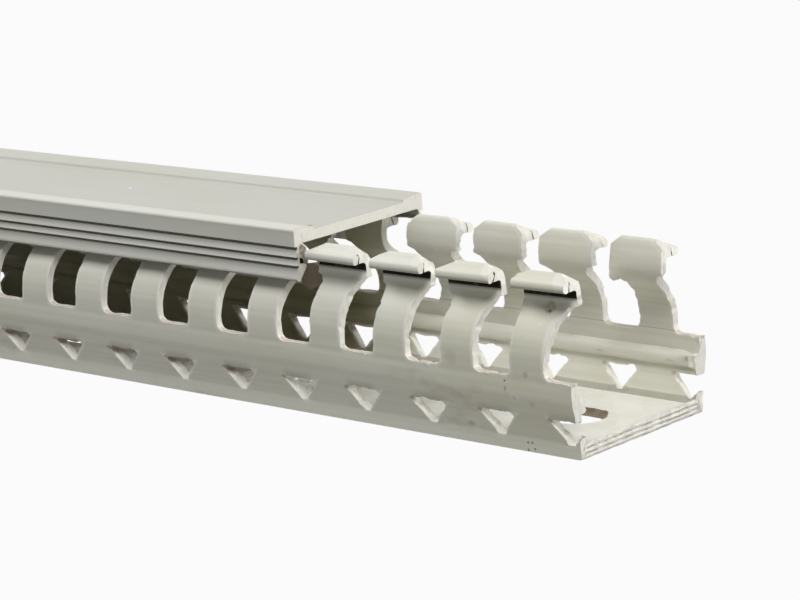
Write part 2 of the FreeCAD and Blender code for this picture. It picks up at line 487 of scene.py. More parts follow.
@dataclass
class DuctBase:
    """The punched U profile with its hooked fingers."""

    section: WallSection = field(default_factory=WallSection)
    punches: PunchPattern = field(default_factory=PunchPattern)
    length: float = 500.0
    fingers: int = 40
    near_fingers: tuple[FingerBend, ...] = (
        FingerBend(0.5, 0.55, 0.27, 1.2, 0.7), FingerBend(0.45, 0.56, 0.35, 0.25),
        FingerBend(0.5, 0.46, 0.46, 0.4), FingerBend(0.5, 0.64, 0.48, 0.0),
    )
    far_fingers: tuple[FingerBend, ...] = (
        FingerBend(0.5, 0.45, 0.13, drop=1.5), FingerBend(0.5, 0.36, 0.1, drop=0.4),
        FingerBend(0.45, 0.31, 0.1), FingerBend(0.4, 0.05),
    )
    bend_root: float = 11.0
    lean_spread: float = 0.06
    cut_roughness: float = 0.1
    saw_pitch: float = 0.68
    near_taper: float = 0.95
    open_taper: float = 0.45
    far_taper: float = 0.12
    open_from: float = 203.0
    sheet_pitches: int = 4
    sheets: int = 11
    seed: int = 7
    mesh: BMesh = field(init=False)

    def slot_zero(self) -> float:
        """Place along the duct of the slot that the open end cuts through."""
        return self.length / 2 - self.punches.end_offset

    def from_slot(self, reach: float) -> float:
        """Distance from the nearest slot's middle, for a distance from slot zero."""
        return (reach + self.punches.pitch / 2) % self.punches.pitch - self.punches.pitch / 2

    def free_from(self) -> float:
        """Place along the duct from which the fingers stand free of the cover."""
        return self.length / 2 - len(self.near_fingers) * self.punches.pitch

    def root_line(self) -> float:
        """Distance across the flat sheet past which a head follows on."""
        return self.section.foot_half + self.section.head_root - 0.01

    def sheet_rows(self) -> list[float]:
        """Places of the sheet's lines across, from the near heads over the floor to the far ones.

        Returns:
            The places, in order.
        """
        heights = [0.9, 1.9, 2.9, 3.9, 4.85, 5.35, 5.75, 6.2, 6.5, 6.75, 7.05, 7.3, 7.55, 7.85, 8.1,
                   8.5, 9.3, 10.0, 10.3, 10.7, 11.25, 11.8, 12.6, 13.4, 14.2, 15.0, 15.8, 16.6,
                   17.4, 18.2, 18.8, 19.35, 19.9, 20.4, 20.9, self.section.head_root]
        foot = self.section.foot_half
        wall = [foot + height for height in heights]
        return [-run for run in reversed(wall)] + steps_between(-foot, foot, 8) + wall

    def cut_sheet(self) -> Sheet:
        """Makes the flat sheet with all its openings, saws it to length and gives it two skins.

        Returns:
            The sheet, with one skin at height 0 and the other 1 away from it.
        """
        punches = self.punches
        foot = self.section.foot_half
        sheet = Sheet(punches.columns(), self.sheet_rows())
        for outline in (punches.slot_outline(), punches.gap_outline(self.section.head_root + 1),
                        punches.triangle_outline()):
            sheet.punch([(x, foot + height) for x, height in outline])
            sheet.punch([(x, -foot - height) for x, height in reversed(outline)])
        sheet.repeat(self.sheet_pitches, punches.pitch)
        sheet.punch(punches.mount_outline())
        sheet.repeat(self.sheets, punches.mount_spacing)
        mesh = sheet.mesh
        back = (self.sheets * self.sheet_pitches - 1) * punches.pitch
        bmesh.ops.translate(mesh, vec=(self.slot_zero() - back, 0.0, 0.0), verts=mesh.verts[:])
        for side in (-1.0, 1.0):
            divide(mesh, (side * self.length / 2, 0.0, 0.0), (side, 0.0, 0.0), 0.01, drop=True)
        bmesh.ops.solidify(mesh, geom=mesh.faces[:], thickness=1.0)
        return sheet

    def mark_cuts(self) -> None:
        """Gives the cut material to the faces that join the two skins."""
        for part in self.mesh.faces:
            depths = [abs(v.co.z) for v in part.verts]
            part.material_index = Grain.CUT.value if max(depths) - min(depths) > 0.01 else 0

    def score_ends(self) -> None:
        """Adds lines close to the open end, where the saw has raised the plastic."""
        for inset in (0.35, 0.8, 1.3):
            divide(self.mesh, (self.length / 2 - inset, 0.0, 0.0), (1.0, 0.0, 0.0), 0.01)

    def saw_marks(self) -> None:
        """Divides the sawn ends across their thickness, and the free fingers' edges both ways."""
        mesh = self.mesh
        half = self.length / 2 - 0.005
        across = [e for e in mesh.edges if all(abs(v.co.x) > half for v in e.verts)
                  and abs(e.verts[0].co.z - e.verts[1].co.z) > 0.5]
        bmesh.ops.subdivide_edges(mesh, edges=across, cuts=8, use_grid_fill=True)
        foot = self.section.foot_half + 0.01
        along = [e for e in mesh.edges
                 if all(abs(v.co.x) > half and abs(v.co.y) < foot for v in e.verts)
                 and abs(e.verts[0].co.y - e.verts[1].co.y) > 1.0]
        bmesh.ops.subdivide_edges(mesh, edges=along, cuts=4, use_grid_fill=True)
        free, top = self.free_from(), self.root_line()
        rims = {e for f in mesh.faces if f.material_index == Grain.CUT.value for e in f.edges
                if all(free < v.co.x < half for v in e.verts)
                and not all(abs(v.co.y) > top for v in e.verts)}
        bmesh.ops.subdivide_edges(mesh, edges=list(rims), cuts=2, use_grid_fill=True)

    def open_tops(self) -> None:
        """Takes the closing faces off the tops of the fingers, where the heads follow on."""
        top = self.root_line()
        rims = [f for f in self.mesh.faces if all(abs(v.co.y) > top for v in f.verts)]
        bmesh.ops.delete(self.mesh, geom=rims, context="FACES_ONLY")

    def taper_triangles(self) -> None:
        """Draws in the inner rims of the triangles, most of all on the near wall."""
        punches = self.punches
        low, high = punches.triangle_bottom, punches.triangle_top
        middle = low + (high - low) * 0.62
        flank = high - low - punches.triangle_corner
        for vert in self.mesh.verts:
            height = abs(vert.co.y) - self.section.foot_half
            if abs(vert.co.z) < 0.99 or not low - 0.02 < height < high + 0.02:
                continue
            along = self.from_slot(vert.co.x - self.slot_zero())
            if abs(along) > punches.triangle_half * (height - low + 0.03) / flank + 0.5:
                continue
            side = 1 if vert.co.y > 0 else -1
            taper = self.open_taper if vert.co.x > self.open_from else self.near_taper
            inset = (self.far_taper if side > 0 else taper) * (1 + 0.4 * noise.noise(vert.co * 0.7))
            away = Vector((along, height - middle))
            if away.length < 0.5:
                continue
            away *= min(inset / away.length, 1.0)
            vert.co.x -= away.x
            vert.co.y -= side * away.y

    def mark_inside(self) -> None:
        """Notes how far inside each point lies, how deep under a head for the painted shade there,
        and how far up a finger for the painted light in the cove.
        """
        layers = self.mesh.verts.layers.float
        inner, under, cove_light = (layers.new(name) for name in ("inner", "under", "cove_light"))
        for vert in self.mesh.verts:
            vert[inner] = min(abs(vert.co.z), 1.0)
            height = abs(vert.co.y) - self.section.foot_half
            outside = 1.0 - vert[inner]
            # Painted shade with grime: darkest just under a head, fading down the outer face.
            vert[under] = outside * smoothstep(20.2, 21.3, height)
            # Painted light: the outer face of a finger turns lighter up towards its head.
            vert[cove_light] = outside * smoothstep(14.8, 17.6, height)

    @staticmethod
    def mark_grooves(mesh: BMesh, least: float) -> None:
        """Gives the grime and painted shade material to outer faces that lie deep under a head.

        Args:
            mesh: mesh with the layer that notes the depth.
            least: depth that all the corners of such a face are past.
        """
        under = mesh.verts.layers.float["under"]
        for part in mesh.faces:
            outer = part.material_index == Grain.EXTRUDED.value
            if outer and all(v[under] > least for v in part.verts):
                part.material_index = Grain.GROOVE.value

    def bend(self) -> None:
        """Bends the sheet to the section; its two skins lie at heights 0 and 1 until then."""
        for vert in self.mesh.verts:
            place = self.section.place(vert.co.y, min(abs(vert.co.z), 1.0))
            vert.co = (vert.co.x, place.x, place.y)

    def raise_ends(self) -> None:
        """Raises the burr that the saw left along the open end of the floor."""
        inner = self.mesh.verts.layers.float["inner"]
        reach = self.section.foot_half - 0.9
        for vert in self.mesh.verts:
            inset = self.length / 2 - vert.co.x
            if inset > 1.6 or abs(vert.co.y) > reach or vert.co.z > 2.0:
                continue
            swell = 0.75 + 0.35 * noise.noise(Vector((vert.co.y * 0.5, 3.0, 0.0)))
            vert.co.z += vert[inner] * swell * smoothstep(1.5, 0.3, inset)

    def press_bead(self) -> None:
        """Pinches the long beads below the slots' corners and tears them at the open end."""
        inner = self.mesh.verts.layers.float["inner"]
        height = self.section.bead_height
        half = self.length / 2
        for vert in self.mesh.verts:
            near_bead = abs(vert.co.z - height) < 1.9 and vert[inner] > 0.5
            if not near_bead or vert.co.x < half - 55:
                continue
            side = 1 if vert.co.y > 0 else -1
            along = self.from_slot(self.slot_zero() - vert.co.x)
            away = math.hypot(along - 3.3, (vert.co.z - height - 0.6) * 1.2)
            vert.co.y -= side * 0.08 * math.exp(-(away / 1.2) ** 2)
            torn = smoothstep(3.2, 0.4, half - vert.co.x)
            vert.co.y -= side * torn * (0.25 + 0.7 * noise.noise(vert.co * 0.8))
            vert.co.z += torn * 0.35 * noise.noise(vert.co * 1.1 + Vector((0.0, 9.0, 0.0)))
        for part in self.mesh.faces:
            middle = part.calc_center_median()
            at_end = middle.x > half - 1.7 and abs(middle.z - height) < 1.3
            if at_end and all(v[inner] > 0.5 for v in part.verts):
                part.material_index = Grain.CUT.value

    def head(self) -> BMesh:
        """One hooked head about the middle of its finger, open at its root.

        Returns:
            The head's mesh.
        """
        punches = self.punches
        columns = [x - punches.pitch / 2 for x in punches.columns() if punches.gap_half - 0.01 < x]
        columns += [-x for x in reversed(columns[:-1])]
        foot = self.section.foot_half
        mesh = bmesh.new()
        inner, under = (mesh.verts.layers.float.new(name) for name in ("inner", "under"))
        verts = [mesh.verts.new((columns[0], -foot - u, z)) for u, z in self.section.head_chain()]
        first = [mesh.edges.new(pair) for pair in zip(verts, verts[1:])]
        for rim in (first, push_along(mesh, first, columns)):
            side = mesh.faces.new(self.ordered(rim))
            side.material_index = Grain.CUT.value
        divide(mesh, (0.0, 0.0, punches.chamfer_start), (0.0, 0.0, 1.0), 0.004)
        for vert in mesh.verts:
            vert.co.x *= punches.head_half(vert.co.z) / punches.head_half(0.0)
            inset = -foot - vert.co.y
            in_crack = -2.3 < inset < -1.9 and vert.co.z < 23.6
            on_top = vert.co.z > 22.4 and not in_crack
            vert[inner] = 1.0 if inset < -3.9 else 0.95 if on_top else 0.0
            # Painted shade with grime in the groove under the lip and in the crack, and a lighter
            # painted shade on the lip's lower front.
            groove = in_crack or (inset < -2.4 and vert.co.z < 22.2 and vert[inner] < 0.5)
            lip = inset > -1.2 and vert.co.z < 22.5
            vert[under] = 1.0 if groove else 0.36 if lip else 0.0
        self.mark_grooves(mesh, 0.9)
        return mesh

    @staticmethod
    def ordered(edges: list[BMEdge]) -> list[BMVert]:
        """Puts the vertices of an open chain of edges in order.

        Args:
            edges: edges of the chain, in any order.

        Returns:
            Vertices from the chain's outermost end to the other.
        """
        chain = set(edges)
        ends = [v for e in edges for v in e.verts
                if sum(link in chain for link in v.link_edges) == 1]
        path = [max(ends, key=lambda v: -v.co.y)]
        while True:
            following = [e.other_vert(path[-1]) for e in path[-1].link_edges
                         if e in chain and e.other_vert(path[-1]) not in path[-2:]]
            if not following:
                return path
            path.append(following[0])

    def finger_places(self) -> list[float]:
        """Middle of each finger along the duct, from the open end."""
        first = self.length / 2 - self.punches.end_offset - self.punches.pitch / 2
        return [first - index * self.punches.pitch for index in range(self.fingers)]

    def add_heads(self) -> None:
        """Sets a head on each finger of both walls and welds them on."""
        mesh = self.mesh
        data = to_data(self.head(), "head")
        before = set(mesh.verts)
        mesh.from_mesh(data)
        bpy.data.meshes.remove(data)
        near = [v for v in mesh.verts if v not in before]
        far = only_verts(bmesh.ops.duplicate(mesh, geom=self.with_links(near))["geom"])
        bmesh.ops.scale(mesh, vec=(1.0, -1.0, 1.0), verts=far)
        places = self.finger_places()
        bmesh.ops.translate(mesh, vec=(places[0], 0.0, 0.0), verts=near + far)
        whole = self.with_links(near + far)
        for place in places[1:]:
            copy_along(mesh, whole, place - places[0])
        seam = [v for v in mesh.verts if abs(v.co.z - self.section.head_root) < 0.01]
        bmesh.ops.remove_doubles(mesh, verts=seam, dist=0.03)

    @staticmethod
    def with_links(verts: list[BMVert]) -> list:
        """Vertices together with the edges and faces between them."""
        edges = {e for v in verts for e in v.link_edges}
        return list(verts) + list(edges) + list({f for v in verts for f in v.link_faces})

    def add_web(self) -> None:
        """Leaves the torn web of plastic that the punch did not clear from one near slot."""
        outline = [(202.2, 20.9), (198.7, 21.3), (196.0, 20.8), (195.6, 19.2), (196.3, 17.9),
                   (197.6, 17.2), (199.2, 17.5), (200.6, 17.1), (202.4, 17.4)]
        mesh = self.mesh
        front, back = ([mesh.verts.new((x, y, z)) for x, z in outline] for y in (-9.5, -9.25))
        faces = [mesh.faces.new(front), mesh.faces.new(back[::-1])]
        for index in range(len(outline)):
            corners = (front[index], front[index - 1], back[index - 1], back[index])
            faces.append(mesh.faces.new(corners))
        for part in faces:
            part.material_index = Grain.CUT.value

    def bends(self) -> dict[tuple[int, int], tuple[FingerBend, float, float]]:
        """Draws how every finger stands: its bend, its outward lean and its twist.

        Returns:
            The three for each side, -1 or 1, and number from the open end.
        """
        rng = random.Random(self.seed)
        bends = {}
        for side, given in ((-1, self.near_fingers), (1, self.far_fingers)):
            for index in range(self.fingers):
                bend = given[index] if index < len(given) else FingerBend(0.0)
                stray = rng.uniform(-1, 1) * self.lean_spread
                bends[side, index] = (bend, bend.out + stray, rng.uniform(-1, 1) * 0.03)
        return bends

    def lean(self) -> None:
        """Bends the free fingers outwards, and each of the others a little its own way."""
        punches = self.punches
        places = self.finger_places()
        bends = self.bends()
        for vert in self.mesh.verts:
            side = -1 if vert.co.y < 0 else 1
            index = round((places[0] - vert.co.x) / punches.pitch)
            if vert.co.z < punches.slot_bottom - 0.5 or not 0 <= index < len(places):
                continue
            bend, out, twist = bends[side, index]
            along = vert.co.x - places[index]
            if side > 0 and index == len(self.far_fingers):
                along = min(along, 3.0 + 0.12 * noise.noise(vert.co * 1.6))
            if vert.co.z > punches.head_underside - 1.0:
                along = max(along, bend.wing - punches.finger_line)
            along += bend.widen * smoothstep(1.0, 4.6, along) * smoothstep(12.5, 17.0, vert.co.z)
            if side < 0 and index < len(self.near_fingers):
                self.thin_head(vert)
            wing = smoothstep(-2.6, -4.2, along) * smoothstep(17.6, 19.9, vert.co.z)
            vert.co.z -= bend.drop * wing * smoothstep(23.6, 20.4, vert.co.z)
            share = smoothstep(9.5, 25.5, vert.co.z) * 1.12
            aside = side * vert.co.y - self.section.foot_half - 0.75
            rise = -aside * out / (punches.head_top - self.bend_root) + bend.rise
            vert.co.x = places[index] + along + share * bend.shift
            vert.co.y += side * share * (out + twist * along * 2)
            vert.co.z += share * rise

    def thin_head(self, vert: BMVert) -> None:
        """Draws the back of a near head towards its lip and lowers its ridge.

        Args:
            vert: a point of a free near finger.
        """
        inset = -vert.co.y - self.section.foot_half
        back = smoothstep(-2.9, -4.4, inset) * smoothstep(19.5, 21.5, vert.co.z)
        ridge = smoothstep(-1.5, -3.4, inset) * smoothstep(22.6, 24.4, vert.co.z)
        vert.co.y -= 0.4 * back
        vert.co.z -= 0.5 * ridge

    def roughen(self) -> None:
        """Tears the punched edges a little and gives the sawn ends their ridges."""
        self.mesh.verts.layers.float.new("groove")
        for vert in self.mesh.verts:
            torn = [f.normal for f in vert.link_faces if f.material_index == Grain.CUT.value]
            if not torn:
                continue
            if abs(vert.co.x) > self.length / 2 - 0.01:
                self.saw(vert)
                continue
            strength = self.cut_roughness * (1.0 if vert.co.x > self.free_from() else 0.6)
            away = sum(torn, Vector()).normalized()
            chip = smoothstep(0.12, 0.5, noise.noise(vert.co * 0.75)) * 2.6
            burr = noise.noise(vert.co * 1.9) * 0.9 + noise.noise(vert.co * 0.45) * 0.8
            vert.co += away * strength * (burr - chip)
            if vert.co.z > self.punches.slot_bottom:
                vert.co.y += noise.noise(vert.co * 2.3) * strength

    def saw(self, vert: BMVert) -> None:
        """Moves one point of a sawn end into the saw's ridges.

        Args:
            vert: the point.
        """
        layers = self.mesh.verts.layers.float
        wander = noise.noise(vert.co * 0.22) * 0.5 + noise.noise(vert.co * 1.1) * 0.35
        on_floor = smoothstep(2.6, 1.7, vert.co.z)
        ridge = abs(math.sin((vert.co.z - 0.05 + 0.16 * wander) * math.pi / self.saw_pitch))
        depth = 0.25 * (1 - ridge) * on_floor + 0.16 * abs(noise.noise(vert.co * 1.9))
        # The layer marks the troughs of the saw marks, which the cut material paints in shade.
        vert[layers["groove"]] = smoothstep(0.5, 0.1, ridge) * on_floor
        vert.co.x -= depth if vert.co.x > 0 else -depth
        if vert.co.z < 0.1:
            vert.co.z += 0.3 * max(noise.noise(Vector((7.0, vert.co.y * 0.8, 0.0))), 0.0)
        elif vert.co.z > 2.0:
            side = 1 if vert.co.y > 0 else -1
            vert.co.y -= side * vert[layers["inner"]] * (0.22 + 0.3 * noise.noise(vert.co * 0.9))

    def keep_inside(self) -> None:
        """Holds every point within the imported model's box."""
        low, high = ([value / MM for value in corner] for corner in CAD_BOX)
        for vert in self.mesh.verts:
            vert.co.y = max(low[1] + 0.001, min(vert.co.y, high[1] - 0.001))
            vert.co.z = max(vert.co.z, 0.0)
            vert.co.x = max(-self.length / 2, min(vert.co.x, self.length / 2))

    def make(self, materials: list[Material]) -> Object:
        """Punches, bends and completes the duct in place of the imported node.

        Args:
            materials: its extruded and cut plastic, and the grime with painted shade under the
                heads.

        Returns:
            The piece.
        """
        self.mesh = self.cut_sheet().mesh
        for step in (self.mark_cuts, self.score_ends, self.saw_marks, self.open_tops,
                     self.taper_triangles, self.mark_inside):
            step()
        self.mark_grooves(self.mesh, 0.5)
        for step in (self.bend, self.raise_ends, self.press_bead, self.add_heads, self.add_web):
            step()
        bmesh.ops.recalc_face_normals(self.mesh, faces=self.mesh.faces[:])
        for step in (self.lean, self.roughen, self.keep_inside):
            step()
        return finish_piece(self.mesh, "duct_base_profile", Body.DUCT, "duct_base",
                            materials)


@dataclass(frozen=True)
class Reed:
    """One hollow band of the cover's side between two grooves, with how far its top falls back."""

    low: float
    high: float
    fall: float


@dataclass
class Cover:
    """The clip-on cover with its reeded sides, slid back from the open end."""

    open_end: float = 199.5
    length: float = 500.0
    foot_half: float = 13.25
    overhang: float = 0.3
    side: float = 0.8
    underside: float = 24.8
    panel: float = 26.3
    edge: float = 27.15
    lower: float = 19.4
    far_drop: float = 0.8
    strip: float = 4.0
    step: float = 0.4
    catch_top: float = 21.85
    catch_depth: float = 1.35
    catch_height: float = 0.7
    rounding: float = 0.52
    groove_depth: float = 0.5
    reeds: tuple[Reed, ...] = (
        Reed(19.85, 21.3, 0.38), Reed(21.74, 22.54, 0.34), Reed(22.98, 24.0, 0.36),
        Reed(24.48, 26.6, 0.05),
    )
    chip: float = 7.3
    roughness: float = 0.09

    def side_outline(self) -> list[Point]:
        """Outer face of a side from its lower edge up to the cover's edge, groove by groove.

        Returns:
            Points as distance from the middle and height.
        """
        outer = self.foot_half + self.overhang
        points = []
        for reed, following in zip(self.reeds, self.reeds[1:] + (None,)):
            for share in (0.0, 0.12, 0.3, 0.5, 0.75, 1.0):
                fall = reed.fall * (2 * share - share * share)
                points.append((outer - fall, reed.low + (reed.high - reed.low) * share))
            if following:
                points += [(outer - self.groove_depth, reed.high + 0.06),
                           (outer - self.groove_depth, following.low - 0.06)]
        return points

    def half_outline(self) -> list[Point]:
        """Half of the section, from the middle of its underside round to the middle of its top.

        Returns:
            Points as distance from the middle and height.
        """
        outer = self.foot_half + self.overhang
        inner = outer - self.side
        catch = inner - self.catch_depth
        points = [(y, self.underside) for y in steps_between(0.0, inner - 0.6, 10)]
        points += [
            (inner - 0.18, self.underside - 0.18), (inner, self.underside - 0.6), (inner, 23.2),
            (inner, self.catch_top), (catch + 0.2, self.catch_top - 0.2),
            (catch, self.catch_top - 0.4), (catch + 0.1, self.catch_top - self.catch_height),
            (inner, self.lower + 0.3), (inner + 0.2, self.lower), (outer - 0.34, self.lower),
            (outer - 0.14, self.lower + 0.12), (outer - 0.03, self.lower + 0.28),
        ]
        points += self.side_outline()
        top = self.edge - 0.01
        for turn in (15, 35, 55, 75, 90):
            angle = math.radians(turn)
            points.append((outer - self.rounding * (1 - math.cos(angle)),
                           top - self.rounding * (1 - math.sin(angle))))
        slope = steps_between(outer - self.rounding, outer - self.strip, 4)
        drop = self.edge - self.panel - self.step
        points += [(y, top - drop * (slope[0] - y) / (slope[0] - slope[-1])) for y in slope[1:]]
        points += [(outer - self.strip - away, self.panel + rise)
                   for away, rise in ((0.08, 0.22), (0.2, 0.04), (0.36, -0.05), (0.6, -0.06))]
        return points + [(y, self.panel) for y in steps_between(outer - self.strip - 1.1, 0.0, 9)]

    def stations(self) -> list[float]:
        """Places along the duct at which the section is repeated, closer together near the ends.

        Returns:
            The places, in order.
        """
        start = self.open_end - self.length
        chip = self.open_end - self.chip
        places = [start, start + 0.25, start + 0.7] + steps_between(start + 1.5, chip - 4.0, 56)
        places += [chip + away for away in (-1.2, -0.8, -0.4, 0.0, 0.5, 1.2, 2.5, 4.0)]
        return places + [self.open_end - inset for inset in (1.6, 0.7, 0.25, 0.0)]

    def draw(self) -> BMesh:
        """Pushes the section along the duct and gives its two sawn ends the cut material.

        Returns:
            The cover's mesh.
        """
        half = self.half_outline()
        loop = [(-y, z) for y, z in half] + [(y, z) for y, z in reversed(half[1:-1])]
        places = self.stations()
        mesh = bmesh.new()
        mesh.verts.layers.float.new("under")
        verts = [mesh.verts.new((places[0], y, z)) for y, z in loop]
        first = [mesh.edges.new(pair) for pair in zip(verts, verts[1:] + verts[:1])]
        for rim in (first, push_along(mesh, first, places)):
            for part in bmesh.ops.contextual_create(mesh, geom=rim)["faces"]:
                part.material_index = Grain.CUT.value
        mesh.verts.layers.float.new("pale")
        return mesh

    def mark(self, mesh: BMesh) -> None:
        """Notes the painted shade in the grooves, on the reed tops, beside the strip and along the
        lower edge, and how pale the upper edges are.

        Args:
            mesh: the cover's mesh, with a layer for each.
        """
        under, pale = (mesh.verts.layers.float[name] for name in ("under", "pale"))
        for vert in mesh.verts:
            aside = abs(vert.co.y) - self.foot_half - self.overhang
            beside_strip = -self.strip - 0.4 < aside < -self.strip - 0.05
            # Painted shade: dark in the grooves, on the top of each reed below a groove, beside the
            # strip and along the lower edge.
            painted_shade = (
                (abs(aside + self.groove_depth) < 0.01 and vert.co.z < 25.0, 0.8),
                (any(abs(vert.co.z - reed.high) < 0.01 and reed.fall > 0.1 for reed in self.reeds),
                 0.42),
                (beside_strip and vert.co.z > self.panel - 0.3, 0.14),
                (-0.4 < aside and vert.co.z < self.lower + 0.15, 0.6),
            )
            vert[under] = next((strength for there, strength in painted_shade if there), 0.0)
            # Painted highlight with some wear: the upper edges turn pale, much more on the near side
            # than the far side.
            if aside > -self.strip - 0.02 and vert.co.z > self.edge - 0.45:
                vert[pale] = 0.75 if vert.co.y < 0 else 0.15

    def wear_down(self, mesh: BMesh) -> None:
        """Breaks the far side away beside the open end and makes the sawn edges wander.

        Args:
            mesh: the cover's mesh.
        """
        start = self.open_end - self.length
        chip = self.open_end - self.chip
        for vert in mesh.verts:
            if vert.co.y > self.foot_half - 2.2 and vert.co.z < 24.45:
                limit = self.lower + 4.1 * smoothstep(chip - 1.3, chip + 0.6, vert.co.x)
                limit += 0.25 * noise.noise(vert.co * 1.5)
                vert.co.z = max(vert.co.z, min(limit, 24.5))
            if vert.co.y > 0:
                vert.co.z -= self.far_drop * smoothstep(22.4, 20.8, vert.co.z)
            if min(vert.co.x - start, self.open_end - vert.co.x) < 0.01:
                side = 1 if vert.co.x > 0 else -1
                vert.co.x -= side * abs(noise.noise(vert.co * 1.3)) * 2 * self.roughness
            sway = 0.05 * noise.noise(Vector((vert.co.x * 0.03, 1.0, 0.0)))
            if vert.co.z > self.underside - 0.01:
                vert.co.z -= abs(sway) * (1 - (vert.co.y / self.foot_half) ** 2)

    def make(self, materials: list[Material]) -> Object:
        """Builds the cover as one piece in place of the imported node.

        Args:
            materials: its extruded and cut plastic.

        Returns:
            The piece.
        """
        mesh = self.draw()
        self.mark(mesh)
        self.wear_down(mesh)
        bmesh.ops.recalc_face_normals(mesh, faces=mesh.faces[:])
        return finish_piece(mesh, "cover_profile", Body.COVER, "cover", materials)


@dataclass(frozen=True)
class Mark:
    """One stain or speck: its place in metres, its radius in millimetres, colour and strength."""

    place: Triple
    radius: float
    colour: Triple
    strength: float = 0.8
    stretch: Triple = (1.0, 1.0, 1.0)


class Wiring:
    """Adds nodes to a tree and links them."""

    def __init__(self, tree: NodeTree) -> None:
        """Starts on a material's node tree or a node group."""
        self.tree = tree

    def node(self, kind: str, **settings: object) -> Node:
        """Adds a node.

        Args:
            kind: type of the node.
            settings: its properties by name.

        Returns:
            The node.
        """
        made = self.tree.nodes.new(kind)
        for name, value in settings.items():
            setattr(made, name, value)
        return made

    def feed(self, socket: NodeSocket, value: object) -> None:
        """Links a socket to an input, or sets it where the value is a plain one.

        Args:
            socket: the input.
            value: socket or plain value.
        """
        if isinstance(value, NodeSocket):
            self.tree.links.new(value, socket)
        else:
            socket.default_value = value

    def filled(self, kind: str, values: tuple, **settings: object) -> Node:
        """Adds a node and feeds its inputs in order.

        Args:
            kind: type of the node.
            values: sockets or plain values.
            settings: its properties by name.

        Returns:
            The node.
        """
        made = self.node(kind, **settings)
        for socket, value in zip(made.inputs, values):
            self.feed(socket, value)
        return made

    def math(self, operation: str, *values: object, clamp: bool = False) -> NodeSocket:
        """Adds a maths node and gives its result."""
        made = self.filled("ShaderNodeMath", values, operation=operation, use_clamp=clamp)
        return made.outputs[0]

    def vector(self, operation: str, *values: object) -> Node:
        """Adds a vector maths node."""
        return self.filled("ShaderNodeVectorMath", values, operation=operation)

    def times(self, first: object, *others: object) -> object:
        """Multiplies values.

        Args:
            first: socket or number.
            others: the same.

        Returns:
            Socket with the product.
        """
        for value in others:
            first = self.math("MULTIPLY", first, value)
        return first

    def apart(self, value: object, middle: object) -> NodeSocket:
        """Distance of a value from a middle."""
        return self.math("ABSOLUTE", self.math("SUBTRACT", value, middle))

    def hypot(self, first: object, second: object) -> NodeSocket:
        """Distance that two parts at right angles come to."""
        squares = self.math("ADD", self.times(first, first), self.times(second, second))
        return self.math("SQRT", squares)

    def ramp(self, value: object, low: float, high: float, start: float = 0.0, stop: float = 1.0,
             kind: str = "SMOOTHSTEP") -> NodeSocket:
        """Carries a value from the range low to high to the range start to stop."""
        return self.filled("ShaderNodeMapRange", (value, low, high, start, stop),
                           interpolation_type=kind).outputs[0]

    def tint(self, share: object, first: object, second: object, blend: str = "MIX") -> NodeSocket:
        """Mixes two colours.

        Args:
            share: how much of the second there is.
            first: socket or colour.
            second: socket or colour.
            blend: how they are mixed.

        Returns:
            The mixed colour's socket.
        """
        made = self.node("ShaderNodeMix", data_type="RGBA", blend_type=blend)
        self.feed(made.inputs[0], share)
        for index, colour in ((6, first), (7, second)):
            value = colour if isinstance(colour, NodeSocket) else (*colour, 1.0)
            self.feed(made.inputs[index], value)
        return made.outputs[2]

    def place(self) -> NodeSocket:
        """Object coordinates, in metres."""
        return self.node("ShaderNodeTexCoord").outputs["Object"]

    def parts(self, vector: NodeSocket) -> bpy.types.NodeOutputs:
        """The three coordinates of a vector."""
        return self.filled("ShaderNodeSeparateXYZ", (vector,)).outputs

    def layer(self, name: str) -> NodeSocket:
        """Value of one of the mesh's own layers."""
        return self.node("ShaderNodeAttribute", attribute_name=name).outputs["Fac"]

    def stretched(self, vector: NodeSocket, scale: Triple) -> NodeSocket:
        """Coordinates stretched by a factor along each axis.

        Args:
            vector: the coordinates.
            scale: the factors.

        Returns:
            The new coordinates.
        """
        made = self.node("ShaderNodeMapping")
        self.feed(made.inputs["Vector"], vector)
        made.inputs["Scale"].default_value = scale
        return made.outputs[0]

    def noise(self, vector: NodeSocket, scale: float = 1.0, detail: float = 3.0,
              rough: float = 0.5) -> NodeSocket:
        """Adds a noise.

        Args:
            vector: coordinates that it follows.
            scale: size of the pattern, larger for a finer one.
            detail: how many finer layers it has.
            rough: strength of those layers.

        Returns:
            Socket with a value about 0.5.
        """
        made = self.node("ShaderNodeTexNoise")
        for name, value in (("Vector", vector), ("Scale", scale), ("Detail", detail),
                            ("Roughness", rough)):
            self.feed(made.inputs[name], value)
        return made.outputs[0]

    def group(self, tree: NodeTree, **values: object) -> bpy.types.NodeOutputs:
        """Places a node group.

        Args:
            tree: the group.
            values: what its inputs get, by name.

        Returns:
            The group's outputs.
        """
        made = self.node("ShaderNodeGroup", node_tree=tree)
        for name, value in values.items():
            self.feed(made.inputs[name], value)
        return made.outputs

    def shaded(self, colour: NodeSocket, shade: NodeSocket) -> NodeSocket:
        """A colour made lighter or darker by a factor.

        Args:
            colour: the colour.
            shade: the factor.

        Returns:
            The new colour.
        """
        made = self.vector("SCALE", colour)
        self.feed(made.inputs["Scale"], shade)
        return made.outputs[0]

    def stains(self, spot: NodeTree, place: NodeSocket, colour: NodeSocket,
               marks: tuple[Mark, ...]) -> NodeSocket:
        """Lays single marks over a colour.

        Args:
            spot: the group that masks a mark.
            place: object coordinates.
            colour: colour so far.
            marks: the marks, in order.

        Returns:
            The new colour.
        """
        for mark in marks:
            mask = self.group(spot, Place=place, Centre=mark.place, Radius=mark.radius,
                              Stretch=mark.stretch)["Mask"]
            colour = self.tint(self.times(mask, mark.strength), colour, mark.colour)
        return colour

